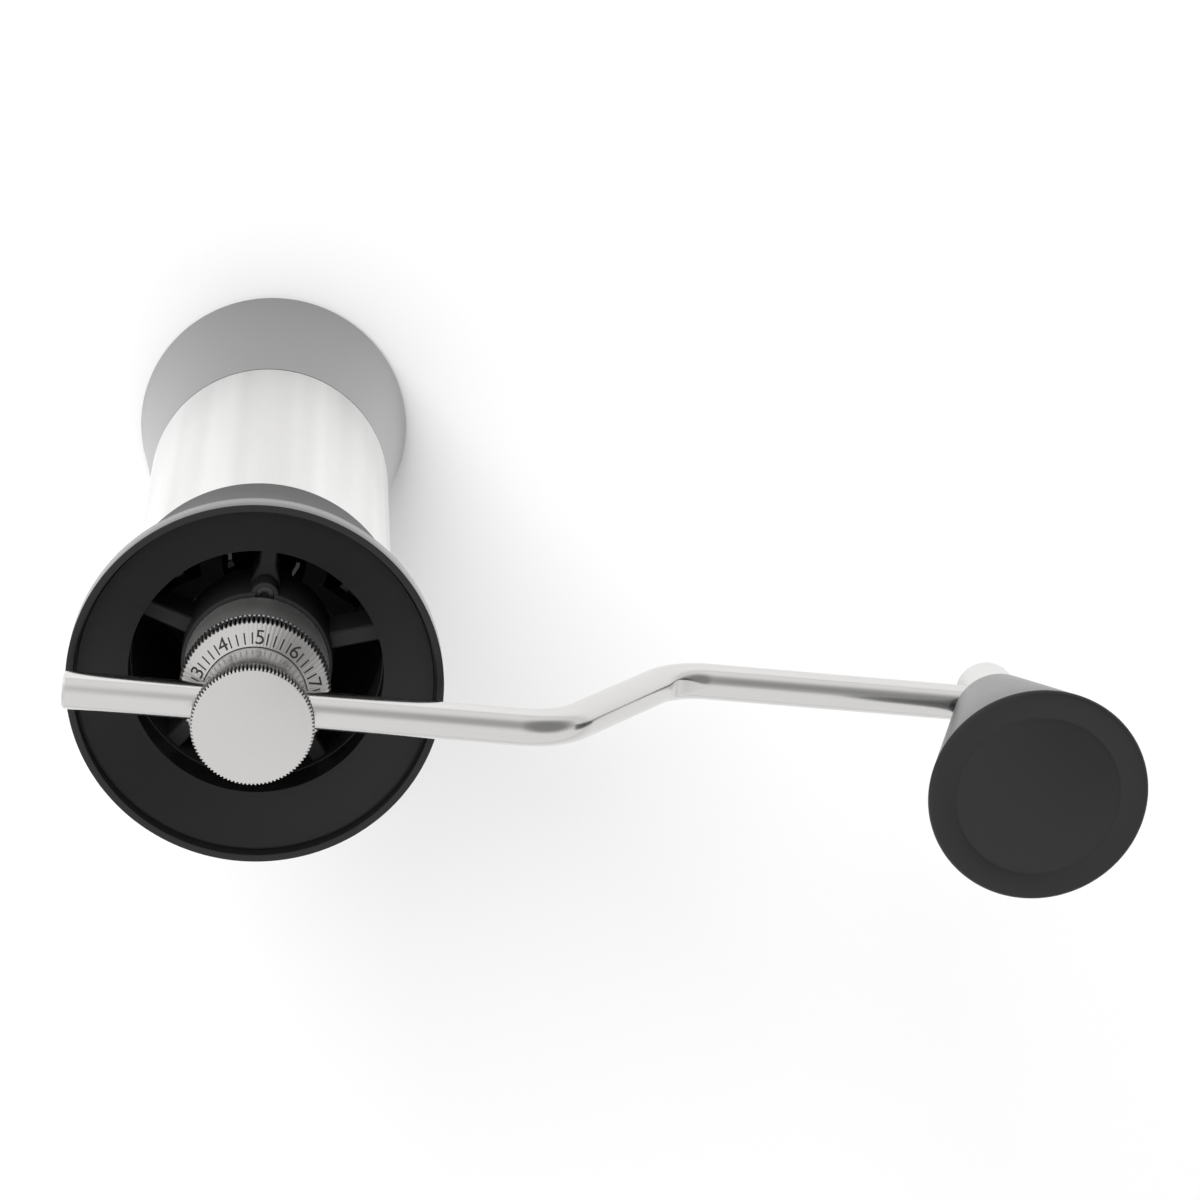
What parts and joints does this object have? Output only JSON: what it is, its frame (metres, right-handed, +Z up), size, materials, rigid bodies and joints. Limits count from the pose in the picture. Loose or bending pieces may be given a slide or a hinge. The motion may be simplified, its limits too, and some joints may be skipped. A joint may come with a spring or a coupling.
{
  "type": "hand crank coffee grinder",
  "caption": "Upright hand coffee grinder: steel tube, flared open hopper, graduated grind dial, removable grounds catcher, and a cranked steel rod arm with a conical knob.",
  "frame": {"origin": "centre of the foot pad's underside, where the burr axis meets the surface that it stands on", "axes": "+Z up along the burr axis, +X from the burr axis towards the knob at rest, +Y completes a right-handed frame"},
  "size_m": [0.2045, 0.072, 0.2181],
  "materials": {
    "tube_steel": "brushed along its length",
    "hopper_plastic": "fine matt moulding grain",
    "spider_plastic": "fine matt moulding grain",
    "catcher_plastic": "fine matt moulding grain",
    "spacer_plastic": "satin",
    "knob_body_plastic": "fine matt moulding grain",
    "knob_cap_plastic": "fine matt moulding grain",
    "washer_nylon": "satin",
    "turned_steel": "fine turning lines",
    "dial_steel": "turned, with black filled engraving",
    "clamp_steel": "satin faced, knurled edge",
    "rod_steel": "brushed along its length",
    "post_steel": "fine turning lines",
    "burr_steel": "ground edges",
    "bearing_steel": "polished",
    "screw_steel": "black oxide",
    "magnet_plating": "nickel plated",
    "carrier_alloy": "black anodised",
    "bushing_brass": "turned",
    "seal_rubber": "matt",
    "foot_rubber": "matt"
  },
  "bodies": {
    "housing": {"body_tube": "tube_steel", "hopper_collar": "hopper_plastic", "bearing_spider": "spider_plastic", "hub_screw": "screw_steel", "upper_outer_race": "bearing_steel", "upper_ball_cage": "bearing_steel", "dust_seal": "seal_rubber", "burr_carrier": "carrier_alloy", "lower_outer_race": "bearing_steel", "lower_ball_cage": "bearing_steel", "ring_burr": "burr_steel", "burr_clamp_ring": "carrier_alloy", "magnet_1": "magnet_plating", "magnet_2": "magnet_plating", "magnet_3": "magnet_plating", "magnet_4": "magnet_plating"},
    "rotor": {"index_collar": "turned_steel", "drive_key": "screw_steel", "upper_inner_race": "bearing_steel", "spacer_tube": "spacer_plastic", "lower_inner_race": "bearing_steel", "preload_spring": "bearing_steel"},
    "dial": {"grind_dial": "dial_steel", "dial_washer": "bushing_brass"},
    "spindle_set": {"spindle": "turned_steel", "spring_seat": "bearing_steel", "cone_burr": "burr_steel", "burr_washer": "bearing_steel", "burr_nut": "bearing_steel"},
    "pad": {"clamp_pad": "bushing_brass"},
    "clamp": {"clamp_screw": "clamp_steel"},
    "crank": {"crank_rod": "rod_steel", "axle_post": "post_steel", "axle_washer": "washer_nylon", "axle_end_washer": "bearing_steel", "axle_screw": "screw_steel"},
    "knob": {"knob_body": "knob_body_plastic", "knob_cap": "knob_cap_plastic", "knob_bushing_lower": "bushing_brass", "knob_bushing_upper": "bushing_brass"},
    "catcher": {"catcher_cup": "catcher_plastic", "catch_ring": "bearing_steel", "foot_pad": "foot_rubber"}
  },
  "joints": [
    {"name": "crank_turn", "type": "hinge", "parent": "housing", "child": "rotor", "pos_m": [0, 0, 0.1854], "axis": [0, 0, 1], "continuous": true},
    {"name": "dial_turn", "type": "hinge", "parent": "rotor", "child": "dial", "pos_m": [0, 0, 0.194], "axis": [0, 0, 1], "range_deg": [-360, 504]},
    {"name": "grind_setting", "type": "slide", "parent": "rotor", "child": "spindle_set", "axis": [0, 0, 1], "range_m": [-0.0007, 0.0005], "deforming": ["preload_spring"]},
    {"name": "clamp_lift", "type": "slide", "parent": "spindle_set", "child": "pad", "axis": [0, 0, 1], "range_m": [0, 0.003]},
    {"name": "clamp_turn", "type": "hinge", "parent": "pad", "child": "clamp", "pos_m": [0, 0, 0.2113], "axis": [0, 0, 1], "range_deg": [0, 1080]},
    {"name": "rod_slide", "type": "slide", "parent": "spindle_set", "child": "crank", "axis": [1, 0, 0], "range_m": [-0.02, 0.024]},
    {"name": "knob_spin", "type": "hinge", "parent": "crank", "child": "knob", "pos_m": [0.14765, 0, 0.195], "axis": [0, 0, 1], "continuous": true},
    {"name": "catcher_pull", "type": "slide", "parent": "housing", "child": "catcher", "axis": [0, 0, -1], "range_m": [0, 0.06]}
  ],
  "couplings": [
    {"joint": "dial_turn", "follows": "grind_setting", "rad_per_m": -12566},
    {"joint": "clamp_turn", "follows": "clamp_lift", "rad_per_m": 6283.2}
  ]
}
